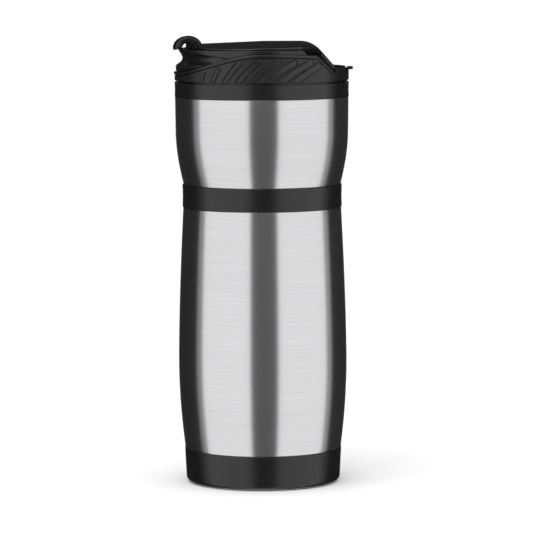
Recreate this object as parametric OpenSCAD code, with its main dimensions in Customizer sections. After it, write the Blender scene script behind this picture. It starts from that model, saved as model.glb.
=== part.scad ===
// Insulated travel mug: double-wall steel body, push-fit lid, flip lever over the drinking hole.
// Origin at the centre of the foot pad's underside, +Z up, the drinking side at -X.

/* [Body] */
// Outer radius of the collar and of the lid
rim_r = 40; // [33:0.5:48]
// Height of the collar's top face above the table
body_h = 184.7; // [154:0.1:223]
// Length of the upper shell and the collar together
upper_h = 46.9; // [42:0.1:58]
// Height of the collar's visible band
collar_h = 6.9; // [6.5:0.1:10]
// Height of the waist band
waist_h = 10.6; // [8:0.1:12]
// Height of the base cap
base_h = 16; // [12:0.1:18]
// How far the waist band lies inside the rim radius
waist_in = 3.3; // [3:0.1:5]
// How far the belly of the lower shell lies inside the rim radius
belly_in = 1.2; // [0.8:0.1:2]
// How far the base cap's top edge lies inside the rim radius
base_in = 3.8; // [3:0.1:5]
// Height of the belly above the base cap
belly_up = 41; // [30:1:50]
// Height over which the upper shell curves in to the waist
tuck_h = 24; // [18:1:28]

/* [Walls] */
// Thickness of the steel shells
shell_t = 0.6; // [0.4:0.1:0.9]
// Thickness of the steel liner
liner_t = 0.5; // [0.4:0.1:0.8]
// Thickness of the plastic mouldings
wall = 1.8; // [1.5:0.1:2.2]
// Inside radius of the liner's mouth, measured inwards from the rim radius
mouth_in = 6; // [5.5:0.1:7]
// Air gap between the liner and the waist band's sleeve
air_gap = 1.5; // [1:0.1:2]
// How much the liner narrows from the waist to its foot
liner_draft = 2.9; // [1:0.1:4]
// Thickness of the foam pad under the liner
support_h = 5; // [4:0.5:6]
// Radius of the anti-slip pad
pad_r = 30; // [24:1:30]
// Thickness of the anti-slip pad
pad_h = 1.6; // [1.3:0.1:2]

/* [Lid] */
// Depth of the plug below the collar's top face
plug_depth = 13.5; // [11:0.5:17]
// Height of the drinking deck's rim above the collar's top face
deck_h = 15.3; // [14:0.1:17]
// Height of the gap between collar and lid cover
shadow_gap = 0.7; // [0.5:0.1:0.9]
// Width of the drinking hole, along X
hole_w = 8; // [6.5:0.5:9.5]
// Length of the drinking hole, along Y
hole_l = 18; // [15:0.5:21]
// Radius of the air vent
vent_r = 1.5; // [1.2:0.1:1.8]
// Height of the gasket in its groove
gasket_h = 3.6; // [3:0.1:4.3]

/* [Lever] */
// Radius of the hinge pin
pin_r = 1.0; // [0.8:0.05:1.2]
// Distance of the hinge axis inside the rim radius
hinge_in = 6.7; // [6.2:0.1:7.2]
// Width of the lever at its hinge
arm_w = 20; // [16:0.5:24]
// How far the lever's round plate lies inside the rim radius
plate_in = 5.5; // [5:0.1:9]
// Width of the thumb hook
hook_w = 22; // [18:0.5:26]
// Thickness of the lever's arm
arm_t = 2.0; // [1.8:0.1:2.3]
// Slope of the lever's arm, in degrees
arm_slope = 48.8; // [46:0.5:51]
// How far the lever opens, in degrees
open_angle = 96; // [88:1:100]

/* [Hidden] */
$fn = 96;

fit = 0.1;                 // clearance of pieces that slide together and stay
running = 0.05;            // radial clearance of the lever on its pin, and of the gasket in its groove
move = 0.3;                // clearance of faces that pass each other
gap_line = 0.5;            // height of the dark gap over the cover's sweeping edge
cut = 1;                   // how far a cutting solid runs past what it cuts
facets = 12;               // segments of each curved stretch of an outline

// ---- body of the mug ----
collar_z = body_h - collar_h;
waist_top = body_h - upper_h;
waist_z = waist_top - waist_h;
belly_z = base_h + belly_up;
pad_proud = 0.4;           // how far the anti-slip pad stands out of the base cap
base_round = 2.2;          // rounding of the base cap's bottom edge
base_taper = 0.8;          // how much the base cap narrows to its foot
shell_in = 0.1;            // how far the upper shell's top lies inside the collar's face
lap = 6;                   // how far each sleeve reaches into a shell
sleeve_t = 1.2;            // thickness of those sleeves
waist_dish = 0.15;         // hollow of the waist band's outer face
shell_waist_in = 0.5;      // how far the shells' ends lie inside the bands

waist_r = rim_r - waist_in;
belly_r = rim_r - belly_in;
base_r = rim_r - base_in;
mouth_r = rim_r - mouth_in;
shell_top_r = rim_r - shell_in;
upper_end_r = waist_r - shell_waist_in;
lower_end_r = waist_r - shell_waist_in + 0.2;
base_end_r = base_r - 0.2;
waist_sleeve_r = min(upper_end_r, lower_end_r) - shell_t - fit;
base_sleeve_r = base_end_r - shell_t - fit;
collar_sleeve_r = shell_top_r - shell_t - fit;

cap_floor = pad_proud + 2.6;
liner_bottom = cap_floor + support_h;
liner_r = waist_sleeve_r - sleeve_t - air_gap - liner_t;
liner_foot_r = liner_r - liner_draft;
liner_corner = 5;
flange_r = rim_r - 2.9;    // edge of the liner's mouth flange
seal_h = 0.8;
flange_z = body_h - 1.5;   // underside of the flange
neck_h = plug_depth + 4;   // straight length of the liner's mouth
shoulder_h = 8;            // height of the cone below it
pad_recess = fit;

// ---- lid ----
lid_z = body_h + shadow_gap;
plug_flange_t = 1.5;
plug_top = body_h + plug_flange_t;
plug_z = body_h - plug_depth;
plug_r = mouth_r - 0.8;
plug_wall = 3.2;
groove_d = 1.3;
groove_z = plug_z + 4;
deck_top = body_h + deck_h;
deck_dish = 0.6;           // how far the deck lies below its rim
deck_under = deck_top - wall;
cover_t = 1.7;             // thickness of the cover's wall
spout_r = rim_r - cover_t - fit;
cover_low = lid_z + 4;     // top of the cover at the drinking side
lip_r = spout_r - 0.05;
neck_r = rim_r - 4.4;
neck_shift = 3.75;         // how far the neck's centre lies towards the hinge, so that it fades out
neck_z = deck_top - 4.9;
lip_land = 0.7;
collarbone_r = rim_r - 0.6;
collarbone_h = 3;          // height of the spout's shoulder over the cover's low edge
hole_x = -(rim_r - 16);
vent_x = -(rim_r - 30);
tube_t = 1.5;
tube_seal_t = 0.8;

// ---- outline of the cover, seen from the side ----
crest_x = rim_r - 38.5;
crest_z = deck_top - 1.7;
sweep = 17.2;              // slope of the sweep's straight stretch, in degrees
crest_big_r = 67.6;        // radius of its bend up to the crest
sweep_x = crest_x - crest_big_r * sin(sweep)
          - (crest_z - crest_big_r * (1 - cos(sweep)) - cover_low) / tan(sweep);
roof_x = rim_r - 15;
roof_z = deck_top - 2.5;
roof_t = wall + 0.6;       // thickness of the sloping roof, with the arm's channel in it
crest_small_r = ((roof_x - crest_x) ^ 2 + (crest_z - roof_z) ^ 2) / (2 * (crest_z - roof_z));
ledge_z = deck_top - 8.6;
valley_x = rim_r - 6.4;
valley_z = ledge_z - 1.8;
roof_slope = atan2(roof_z - valley_z, valley_x - 0.4 - roof_x);

// ---- hinge and lever ----
hinge_x = rim_r - hinge_in;
barrel_r = pin_r + 0.8;
hinge_z = ledge_z - barrel_r - 0.5;
pin_len = arm_w + 8;
ear_t = 5;
notch_w = arm_w + 2 * move;
lever_under = deck_top + 0.1;
lever_top = deck_top + 3.1;
lever_top_low = deck_top + 1.9;
plate_r = rim_r - plate_in;
plate_start = 58.55;       // where the plate's round edge ends, in degrees from +X
crown_drop = 2.1;          // how far the plate's top falls from its middle to its edge
crown_r = (plate_r * plate_r + crown_drop * crown_drop) / (2 * crown_drop);
face_out = barrel_r - 0.06;  // distance of the arm's outer face from the hinge axis
hook_a = 6.7;              // half the length of the thumb hook
hook_b = 5.2;              // height of the thumb hook
hook_x = -(rim_r + 0.7 - hook_a);
hook_z = deck_top + 0.4;
hook_t = 3.2;
hook_rim = 2;              // how far the hook's web lies inside its side edges
web_x = -plate_r - 0.1;    // front end of that web
bend_r = 12.6;             // outer radius of the bend between plate and arm
bend_z = lever_top - bend_r * (1 - cos(arm_slope));
bend_x = hinge_x + face_out / sin(arm_slope) - (bend_z - hinge_z) / tan(arm_slope) - bend_r * sin(arm_slope);
plate_end = bend_x + 6.3;  // where the plate has narrowed to the arm
hook_low = deck_top + 0.2; // height of the hook's tip
tab_out = 1.9;             // how far the pull tab stands out of the cover
tab_w = 16;
tab_t = 0.9;
tab_top = ledge_z - 0.1;

// A point of an arc about (cx, cz).
function arc(cx, cz, r, a0, a1, n = facets) =
    [for (i = [0:n]) let (a = a0 + (a1 - a0) * i / n) [cx + r * cos(a), cz + r * sin(a)]];
// A point of an upright elliptic arc about (cx, cz).
function oval(cx, cz, a, b, a0, a1, n) =
    [for (i = [0:n]) let (t = a0 + (a1 - a0) * i / n) [cx + a * cos(t), cz + b * sin(t)]];
// Radius at height z of a bulge that is widest, r0, at z0 and passes r1 at z1. A lower power is straighter.
function bulge(z, z0, r0, z1, r1, power) = r0 - (r0 - r1) * (abs(z - z0) / abs(z1 - z0)) ^ power;
// The outline points (radius, z) of a bulge between two heights.
function bulge_line(za, zb, z0, r0, z1, r1, power) =
    [for (i = [0:facets]) let (z = za + (zb - za) * i / facets) [bulge(z, z0, r0, z1, r1, power), z]];
// A wall of thickness t behind an outline.
function walled(line, t) = concat(line, [for (i = [len(line) - 1:-1:0]) line[i] - [t, 0]]);

// An outline in X and Z, extruded to a width along Y.
module side_profile(points, width) {
    rotate([90, 0, 0]) translate([0, 0, -width / 2]) linear_extrude(width) polygon(points);
}

// An upright bar with round ends, long in Y.
module slot(x, w, l, z0, z1) {
    straight = l - w;
    translate([x, 0, z0]) {
        translate([-w / 2, -straight / 2, 0]) cube([w, straight, z1 - z0]);
        for (side = [-1, 1]) translate([0, side * straight / 2, 0]) cylinder(r = w / 2, h = z1 - z0);
    }
}

module ring(r0, r1, z0, z1) {
    rotate_extrude() translate([r0, z0]) square([r1 - r0, z1 - z0]);
}

module foot_pad() {
    color("#1c1c1c") cylinder(r = pad_r, h = pad_h);
}

module base_cap() {
    foot = base_r - base_taper;
    color("#262626") difference() {
        rotate_extrude() polygon(concat(
            [[0, pad_proud]],
            arc(foot - base_round, pad_proud + base_round, base_round, -90, 0),
            [[base_r, base_h - 0.3], [base_r - 0.3, base_h], [base_sleeve_r, base_h],
             [base_sleeve_r, base_h + lap], [base_sleeve_r - sleeve_t, base_h + lap],
             [base_sleeve_r - sleeve_t, cap_floor], [0, cap_floor]]));
        translate([0, 0, pad_proud - cut]) cylinder(r = pad_r + pad_recess, h = pad_h - pad_proud + cut);
    }
}

module liner_support_pad() {
    color("#d8d4c8") translate([0, 0, cap_floor]) cylinder(r = liner_foot_r - liner_corner, h = support_h);
}

module inner_liner() {
    neck_z0 = body_h - neck_h;
    outer = concat(
        [[0, liner_bottom]],
        arc(liner_foot_r + liner_t - liner_corner, liner_bottom + liner_corner, liner_corner, -90, 0),
        [[liner_r + liner_t, neck_z0 - shoulder_h], [mouth_r + liner_t, neck_z0],
         [mouth_r + liner_t, flange_z], [flange_r, flange_z], [flange_r, flange_z + liner_t],
         [mouth_r, flange_z + liner_t]]);
    inner = concat(
        [[mouth_r, neck_z0], [liner_r, neck_z0 - shoulder_h]],
        arc(liner_foot_r + liner_t - liner_corner, liner_bottom + liner_corner,
            liner_corner - liner_t, 0, -90),
        [[0, liner_bottom + liner_t]]);
    color("#c8c8ca") rotate_extrude() polygon(concat(outer, inner));
}

module lower_shell() {
    low = bulge_line(base_h, belly_z, belly_z, belly_r, base_h, base_end_r, 2);
    high = bulge_line(belly_z, waist_z, belly_z, belly_r, waist_z, lower_end_r, 1.55);
    line = concat(low, [for (i = [1:facets]) high[i]]);
    color("#b9babd") rotate_extrude() polygon(walled(line, shell_t));
}

module waist_band() {
    mid = (waist_z + waist_top) / 2;
    color("#262626") rotate_extrude() polygon([
        [waist_sleeve_r - sleeve_t, waist_z - lap], [waist_sleeve_r, waist_z - lap],
        [waist_sleeve_r, waist_z], [waist_r - 0.3, waist_z], [waist_r, waist_z + 0.3],
        [waist_r - waist_dish, mid], [waist_r, waist_top - 0.3], [waist_r - 0.3, waist_top],
        [waist_sleeve_r, waist_top], [waist_sleeve_r, waist_top + lap],
        [waist_sleeve_r - sleeve_t, waist_top + lap]]);
}

module upper_shell() {
    tuck_z = waist_top + tuck_h;
    line = concat(bulge_line(waist_top, tuck_z, tuck_z, shell_top_r - 0.2, waist_top, upper_end_r, 1.8),
                  [[shell_top_r, collar_z]]);
    color("#b9babd") rotate_extrude() polygon(walled(line, shell_t));
}

module top_collar() {
    bore = mouth_r + liner_t + fit;
    seat = flange_z - seal_h;
    color("#262626") rotate_extrude() polygon([
        [collar_sleeve_r, collar_z - lap], [collar_sleeve_r, collar_z], [rim_r, collar_z],
        [rim_r, body_h - 0.3], [rim_r - 0.3, body_h], [flange_r + fit, body_h], [flange_r + fit, seat],
        [bore, seat], [bore, collar_z + 1.5], [collar_sleeve_r - sleeve_t, collar_z + 1.5],
        [collar_sleeve_r - sleeve_t, collar_z - lap]]);
}

module rim_seal() {
    color("#3a3a3a") ring(mouth_r + liner_t + fit, flange_r - fit, flange_z - seal_h, flange_z);
}

module lid_gasket() {
    back = plug_r - groove_d + running;
    z0 = groove_z + running;
    z1 = groove_z + gasket_h - running;
    lip = mouth_r - move;
    third = (z1 - z0) / 3;
    color("#8a8a8a") rotate_extrude() polygon([
        [back, z0], [lip, z0], [lip, z0 + 0.6], [plug_r, z0 + third], [plug_r, z1 - third],
        [lip, z1 - 0.6], [lip, z1], [back, z1]]);
}

module lid_plug() {
    tube_top = deck_under - tube_seal_t;
    color("#2b2b2b") difference() {
        union() {
            rotate_extrude() polygon([
                [0, plug_z], [plug_r, plug_z], [plug_r, groove_z], [plug_r - groove_d, groove_z],
                [plug_r - groove_d, groove_z + gasket_h], [plug_r, groove_z + gasket_h],
                [plug_r, body_h], [spout_r - fit, body_h], [spout_r - fit, plug_top],
                [plug_r - plug_wall, plug_top], [plug_r - plug_wall, plug_z + wall], [0, plug_z + wall]]);
            slot(hole_x, hole_w + 2 * tube_t, hole_l + 2 * tube_t, plug_z, tube_top);
            translate([vent_x, 0, plug_z]) cylinder(r = vent_r + 1.1, h = deck_under - plug_z);
        }
        slot(hole_x, hole_w, hole_l, plug_z - cut, tube_top + cut);
        translate([vent_x, 0, plug_z - cut]) cylinder(r = vent_r, h = deck_under - plug_z + 2 * cut);
    }
}

module spout_seal() {
    color("#3a3a3a") difference() {
        slot(hole_x, hole_w + 2 * tube_t, hole_l + 2 * tube_t, deck_under - tube_seal_t, deck_under);
        slot(hole_x, hole_w, hole_l, deck_under - tube_seal_t - cut, deck_under + cut);
    }
}

// Everything above the sloping roof, moved inwards by a distance.
module over_roof(inset) {
    back = inset / sin(roof_slope);
    low_x = valley_x - 0.4 - back + (valley_z - plug_z) / tan(roof_slope);
    high_x = roof_x - back - (deck_top + 2 * cut - roof_z) / tan(roof_slope);
    side_profile([[high_x, deck_top + 2 * cut], [low_x, plug_z], [2 * rim_r, plug_z],
                  [2 * rim_r, deck_top + 2 * cut]], 3 * rim_r);
}

// The groove that draws the spout in below its lip.
module neck_groove(bone_top) {
    deep = neck_r + neck_shift;
    up = (deck_top - lip_land - neck_z - 0.6) / (lip_r - neck_r);
    down = (neck_z - 0.6 - bone_top) / (collarbone_r - neck_r);
    far = 4.4;
    translate([neck_shift, 0, 0]) rotate_extrude() polygon([
        [deep, neck_z - 0.6], [deep, neck_z + 0.6], [deep + far, neck_z + 0.6 + far * up],
        [deep + far, neck_z - 0.6 - far * down]]);
}

module spout_body() {
    bone_top = cover_low + collarbone_h;
    inner_neck = neck_r - wall;
    color("#262626") difference() {
        rotate_extrude() polygon([
            [0, deck_under], [inner_neck, deck_under], [inner_neck, neck_z - 1.5],
            [spout_r - wall, bone_top - wall], [spout_r - wall, plug_top], [collarbone_r, plug_top],
            [collarbone_r, bone_top], [collarbone_r - 0.8, deck_top - 2], [lip_r, deck_top - lip_land],
            [lip_r, deck_top - 0.3], [lip_r - 0.3, deck_top], [lip_r - 2, deck_top],
            [lip_r - 2 - deck_dish, deck_top - deck_dish], [0, deck_top - deck_dish]]);
        intersection() {
            ring(spout_r, rim_r + cut, lid_z + fit, deck_top - 0.5);
            side_profile(cover_outline(gap_line), 3 * rim_r);
        }
        neck_groove(bone_top);
        over_roof(roof_t + move);
        lever_room();
        translate([hinge_x - ear_t, -rim_r, plug_z]) cube([2 * rim_r, 2 * rim_r, deck_h * 3]);
        slot(hole_x, hole_w, hole_l, deck_under - cut, deck_top + cut);
        translate([vent_x, 0, deck_under - cut]) cylinder(r = vent_r, h = wall + 2 * cut);
    }
}

// The cover's side outline: low at the drinking side, a long sweep up to the crest, the sloping roof
// and the rear ledge. A grow above 0 raises the sweep, for what has to stay clear of it.
function cover_outline(grow = 0) =
    let (small = asin((roof_x - crest_x) / crest_small_r))
    concat([[-2 * rim_r, lid_z], [-2 * rim_r, cover_low + grow], [sweep_x, cover_low + grow]],
           arc(crest_x, crest_z - crest_big_r + grow, crest_big_r, 90 + sweep, 90, 14),
           arc(crest_x, crest_z - crest_small_r + grow, crest_small_r, 90, 90 - small, 5),
           [[valley_x - 0.4, valley_z + grow], [valley_x, valley_z + grow], [valley_x, ledge_z],
            [2 * rim_r, ledge_z], [2 * rim_r, lid_z]]);

// The lever's notch through the ledge: a pocket for the barrel, and a ramp that stops the arm.
module hinge_notch() {
    rise = 180 - arm_slope - open_angle;
    ramp = function (x) hinge_z + (x - hinge_x) * tan(rise) - (face_out + move) / cos(rise);
    side_profile([[hinge_x, hinge_z] + (face_out + move) * [sin(rise), -cos(rise)],
                  [rim_r + 4, ramp(rim_r + 4)],
                  [rim_r + 4, ledge_z + 6], [hinge_x - 8, ledge_z + 6], [hinge_x - 3, hinge_z]], notch_w);
    rotate([90, 0, 0]) translate([hinge_x, hinge_z, -notch_w / 2]) cylinder(r = barrel_r + move, h = notch_w);
}

module lid_cover() {
    ear_x = hinge_x - ear_t + move;
    deck_low = ledge_z - wall - 1;
    color("#262626") difference() {
        union() {
            intersection() {
                union() {
                    ring(rim_r - cover_t, rim_r, lid_z, deck_top);
                    intersection() {
                        translate([0, 0, plug_top])
                            cylinder(r = rim_r - cover_t / 2, h = deck_top - plug_top);
                        difference() {
                            over_roof(roof_t);
                            translate([valley_x, -2 * rim_r, plug_z])
                                cube([2 * rim_r, 4 * rim_r, deck_low - plug_z]);
                            translate([0, -2 * rim_r, plug_z])
                                cube([2 * rim_r, 4 * rim_r, valley_z - roof_t - plug_z]);
                        }
                    }
                    intersection() {
                        translate([0, 0, plug_top])
                            cylinder(r = rim_r - cover_t / 2, h = deck_top - plug_top);
                        translate([ear_x, -pin_len / 2 - 1, plug_top])
                            cube([2 * rim_r, pin_len + 2, ledge_z - plug_top]);
                    }
                }
                side_profile(cover_outline(), 3 * rim_r);
            }
            for (side = [-1, 1])
                rotate([90, 0, 0])
                    translate([hinge_x, hinge_z, side * (notch_w + pin_len + 2) / 4 - ear_len() / 2])
                    cylinder(r = barrel_r, h = ear_len());
            intersection() {
                translate([0, 0, tab_top - tab_t]) cylinder(r = rim_r + tab_out, h = tab_t);
                translate([rim_r - cover_t, -tab_w / 2, tab_top - tab_t])
                    cube([2 * cover_t + tab_out, tab_w, tab_t]);
            }
        }
        hinge_notch();
        lever_room();
        rotate([90, 0, 0]) translate([hinge_x, hinge_z, -pin_len / 2]) cylinder(r = pin_r, h = pin_len);
    }
}

function ear_len() = (pin_len + 2 - notch_w) / 2;

module hinge_pin() {
    color("#9a9a9c") rotate([90, 0, 0])
        translate([hinge_x, hinge_z, -pin_len / 2]) cylinder(r = pin_r, h = pin_len);
}

// The lever's underside from the plate through the bend and down the arm, moved outwards by a gap.
function lever_underside(gap) =
    concat([[bend_x, lever_under - gap]],
           arc(bend_x, lever_top - bend_r, bend_r - lever_top + lever_under - gap, 90, 90 - arm_slope, 6),
           [[hinge_x, hinge_z] + (face_out - arm_t - gap) * [sin(arm_slope), cos(arm_slope)]]);

// The side outline of plate, bend and arm, from the plate's front end down to the hinge.
function lever_outline() =
    concat(
        [[-plate_r - cut, lever_under]],
        lever_underside(0),
        [[hinge_x, hinge_z] + face_out * [sin(arm_slope), cos(arm_slope)]],
        arc(bend_x, lever_top - bend_r, bend_r, 90 - arm_slope, 90, 8),
        [[bend_x - 17, lever_top], [hook_x + hook_a, lever_top_low], [-plate_r - cut, lever_top_low - 0.8]]);

// The side outline of the thumb hook, a band that rises from the plate and curls over the rim.
function hook_outline() =
    concat(
        oval(hook_x, hook_z, hook_a, hook_b, 12, 190, 18),
        [[hook_x - hook_a + 1.2, hook_low], [hook_x - hook_a + hook_t, hook_low]],
        oval(hook_x, hook_z, hook_a - hook_t, hook_b - hook_t + 0.3, 180, 0, 12),
        [[hook_x + hook_a - hook_t, lever_under], [hook_x + hook_a, lever_under]]);

// The lever seen from above: a round plate that narrows to the arm. A grow above 0 widens it all round.
function lever_plan(grow = 0) =
    let (half = arm_w / 2 + grow)
    concat(arc(0, 0, plate_r + grow, plate_start, 360 - plate_start, 36),
           [[plate_end + 3 * grow, -half - 12], [plate_end + 4 + 3 * grow, -half], [2 * rim_r, -half],
            [2 * rim_r, half], [plate_end + 4 + 3 * grow, half], [plate_end + 3 * grow, half + 12]]);

// The room that the lever takes in the roof and the deck.
module lever_room() {
    intersection() {
        side_profile(concat(lever_underside(move), [[hinge_x, hinge_z + cut], [hinge_x, deck_top + 2 * cut],
                                                    [bend_x, deck_top + 2 * cut]]), 3 * rim_r);
        linear_extrude(deck_top + 3 * cut) polygon(lever_plan(move));
    }
}

module flip_lever() {
    color("#222222") difference() {
        union() {
            intersection() {
                side_profile(lever_outline(), 3 * rim_r);
                linear_extrude(lever_top + cut) polygon(lever_plan());
                rotate([0, 90, 0]) translate([crown_r - lever_top, 0, -2 * rim_r])
                    cylinder(r = crown_r, h = 4 * rim_r, $fn = 360);
            }
            intersection() {
                side_profile(hook_outline(), hook_w);
                cylinder(r = rim_r + 0.7, h = 2 * body_h);
            }
            intersection() {
                translate([hook_x, 0, 0]) side_profile(concat(
                    [[web_x - hook_x, lever_under]], [[hook_a - hook_t / 2, lever_under]],
                    oval(0, hook_z, hook_a - hook_t / 2, hook_b - hook_t / 2, 0, 90, 8),
                    [[web_x - hook_x, hook_z + hook_b - hook_t / 2]]), hook_w - 2 * hook_rim);
                cylinder(r = rim_r, h = 2 * body_h);
            }
            rotate([90, 0, 0]) translate([hinge_x, hinge_z, -arm_w / 2]) cylinder(r = barrel_r, h = arm_w);
        }
        rotate([90, 0, 0]) translate([hinge_x, hinge_z, -arm_w / 2 - cut])
            cylinder(r = pin_r + running, h = arm_w + 2 * cut);
        translate([hole_x, 0, lever_under - cut]) cylinder(r = stem_r(), h = stem_h() + cut);
        translate([vent_x, 0, lever_under - cut]) cylinder(r = vent_r - 0.3, h = stem_h() + cut);
    }
}

function stem_r() = 2;
function stem_h() = 1;

module drink_stopper() {
    color("#3a3a3a") {
        slot(hole_x, hole_w - 2 * move, hole_l - 2 * move, lever_under - 1.1, lever_under);
        slot(hole_x, hole_w - 4 * move, hole_l - 4 * move, lever_under - 1.9, lever_under - 1.1);
        translate([hole_x, 0, lever_under]) cylinder(r = stem_r(), h = stem_h());
    }
}

module vent_stopper() {
    color("#3a3a3a") {
        translate([vent_x, 0, lever_under - 1.5]) cylinder(r = vent_r - 0.5, h = 1.5);
        translate([vent_x, 0, lever_under]) cylinder(r = vent_r - 0.3, h = stem_h());
    }
}

foot_pad();
base_cap();
liner_support_pad();
inner_liner();
lower_shell();
waist_band();
upper_shell();
top_collar();
rim_seal();
lid_gasket();
lid_plug();
spout_body();
spout_seal();
lid_cover();
hinge_pin();
flip_lever();
drink_stopper();
vent_stopper();
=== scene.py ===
import math

import bmesh
import bpy
import numpy as np
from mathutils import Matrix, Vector


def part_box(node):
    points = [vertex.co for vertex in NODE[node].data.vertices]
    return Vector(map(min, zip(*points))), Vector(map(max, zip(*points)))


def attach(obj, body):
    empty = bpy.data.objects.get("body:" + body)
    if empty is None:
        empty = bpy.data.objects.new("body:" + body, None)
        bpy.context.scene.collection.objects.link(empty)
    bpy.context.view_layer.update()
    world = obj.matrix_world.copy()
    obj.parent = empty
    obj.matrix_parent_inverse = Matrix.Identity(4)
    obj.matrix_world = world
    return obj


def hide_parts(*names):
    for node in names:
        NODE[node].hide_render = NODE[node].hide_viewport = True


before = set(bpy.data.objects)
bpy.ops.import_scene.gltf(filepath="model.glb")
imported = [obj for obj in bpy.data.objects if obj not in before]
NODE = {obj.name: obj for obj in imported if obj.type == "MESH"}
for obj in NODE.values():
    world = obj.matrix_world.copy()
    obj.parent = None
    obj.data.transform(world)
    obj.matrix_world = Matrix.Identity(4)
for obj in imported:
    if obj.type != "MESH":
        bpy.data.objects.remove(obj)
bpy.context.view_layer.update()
MM = 0.001


def low(node, axis):
    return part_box(node)[0][axis]


def high(node, axis):
    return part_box(node)[1][axis]


# ---------------------------------------------------------------- sizes, all taken from the frame
RIM = high("top_collar", 0)
BODY_TOP = high("top_collar", 2)
COLLAR_Z = high("upper_shell", 2)
WAIST_TOP = low("upper_shell", 2)
WAIST_Z = high("lower_shell", 2)
BASE_TOP = low("lower_shell", 2)
WAIST_R = high("waist_band", 0)
BELLY_R = high("lower_shell", 0)
BASE_R = high("base_cap", 0)
CAP_Z = low("base_cap", 2)
LID_Z = low("lid_cover", 2)
DECK = high("spout_body", 2)
PIN = (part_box("hinge_pin")[0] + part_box("hinge_pin")[1]) / 2


# ---------------------------------------------------------------- mesh helpers
def piece(name, verts, faces, body, material, sharp=35.0, nodes=()):
    mesh = bpy.data.meshes.new(name)
    mesh.from_pydata([tuple(v) for v in verts], [], faces)
    mesh.validate()
    obj = bpy.data.objects.new(name, mesh)
    bpy.context.scene.collection.objects.link(obj)
    tidy_normals(obj, sharp)
    mesh.materials.append(material)
    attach(obj, body)
    if nodes:
        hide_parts(*nodes)
    return obj


def tidy_normals(obj, sharp=35.0):
    bm = bmesh.new()
    bm.from_mesh(obj.data)
    bmesh.ops.remove_doubles(bm, verts=bm.verts, dist=1e-7)
    bmesh.ops.recalc_face_normals(bm, faces=bm.faces)
    for f in bm.faces:
        f.smooth = True
    for e in bm.edges:
        if len(e.link_faces) == 2:
            e.smooth = e.calc_face_angle(0) < math.radians(sharp)
    bm.to_mesh(obj.data)
    bm.free()


def fillet(points, radii, steps=5):
    """A closed (radius, height) outline with its corners rounded; radii in millimetres, one or a list."""
    out = []
    n = len(points)
    for i in range(n):
        r = (radii[i] if isinstance(radii, (list, tuple)) else radii) * MM
        p = Vector(points[i])
        a = Vector(points[i - 1]) - p
        b = Vector(points[(i + 1) % n]) - p
        if r <= 0 or a.length < 1e-9 or b.length < 1e-9:
            out.append(p)
            continue
        ua, ub = a.normalized(), b.normalized()
        half = ua.angle(ub) / 2
        if half > math.radians(87):
            out.append(p)
            continue
        reach = min(r / math.tan(half), a.length * 0.49, b.length * 0.49)
        r = reach * math.tan(half)
        centre = p + (ua + ub).normalized() * (r / math.sin(half))
        s, e = p + ua * reach - centre, p + ub * reach - centre
        a0 = math.atan2(s.y, s.x)
        turn = math.atan2(e.y, e.x) - a0
        turn = (turn + math.pi) % (2 * math.pi) - math.pi
        for k in range(steps + 1):
            t = a0 + turn * k / steps
            out.append(centre + Vector((math.cos(t), math.sin(t))) * s.length)
    return out


def lathe(name, outline, body, material, nodes=(), segments=256, sharp=35.0):
    """Turns a closed outline of (radius, height) round Z. Points on the axis become one vertex each."""
    verts, rows = [], []
    for r, z in outline:
        if r < 1e-6:
            rows.append([len(verts)] * segments)
            verts.append((0, 0, z))
        else:
            rows.append(list(range(len(verts), len(verts) + segments)))
            for k in range(segments):
                t = 2 * math.pi * k / segments
                verts.append((r * math.cos(t), r * math.sin(t), z))
    faces = []
    for i in range(len(rows)):
        a, b = rows[i], rows[(i + 1) % len(rows)]
        if len(set(a)) == 1 and len(set(b)) == 1:
            continue
        for k in range(segments):
            m = (k + 1) % segments
            f = [a[k], a[m], b[m], b[k]]
            f = [v for j, v in enumerate(f) if v not in f[:j]]
            if len(f) > 2:
                faces.append(f)
    return piece(name, verts, faces, body, material, sharp, nodes)


# ---------------------------------------------------------------- materials
def material(name):
    m = bpy.data.materials.new(name)
    m.use_nodes = True
    t = m.node_tree
    for n in list(t.nodes):
        t.nodes.remove(n)
    out = t.nodes.new("ShaderNodeOutputMaterial")
    b = t.nodes.new("ShaderNodeBsdfPrincipled")
    t.links.new(b.outputs[0], out.inputs[0])
    return m, t, b


def coords(t):
    return t.nodes.new("ShaderNodeTexCoord").outputs["Object"]


def noise(t, vector, scale, detail=4.0, rough=0.55):
    n = t.nodes.new("ShaderNodeTexNoise")
    n.inputs["Scale"].default_value = scale
    n.inputs["Detail"].default_value = detail
    n.inputs["Roughness"].default_value = rough
    t.links.new(vector, n.inputs["Vector"])
    return n.outputs["Fac"]


def span(t, value, lo, hi, from_lo=0.0, from_hi=1.0):
    r = t.nodes.new("ShaderNodeMapRange")
    r.inputs["From Min"].default_value = from_lo
    r.inputs["From Max"].default_value = from_hi
    r.inputs["To Min"].default_value = lo
    r.inputs["To Max"].default_value = hi
    t.links.new(value, r.inputs["Value"])
    return r.outputs[0]


def maths(t, op, a, b):
    n = t.nodes.new("ShaderNodeMath")
    n.operation = op
    for k, v in enumerate((a, b)):
        if isinstance(v, (int, float)):
            n.inputs[k].default_value = v
        else:
            t.links.new(v, n.inputs[k])
    return n.outputs[0]


def ramp(t, value, stops):
    n = t.nodes.new("ShaderNodeValToRGB")
    e = n.color_ramp.elements
    while len(e) < len(stops):
        e.new(0.5)
    for k, (p, c) in enumerate(stops):
        e[k].position = p
        e[k].color = (*c, 1)
    t.links.new(value, n.inputs[0])
    return n.outputs[0]


def bump(t, b, height, strength, distance):
    n = t.nodes.new("ShaderNodeBump")
    n.inputs["Strength"].default_value = strength
    n.inputs["Distance"].default_value = distance
    t.links.new(height, n.inputs["Height"])
    t.links.new(n.outputs[0], b.inputs["Normal"])


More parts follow.
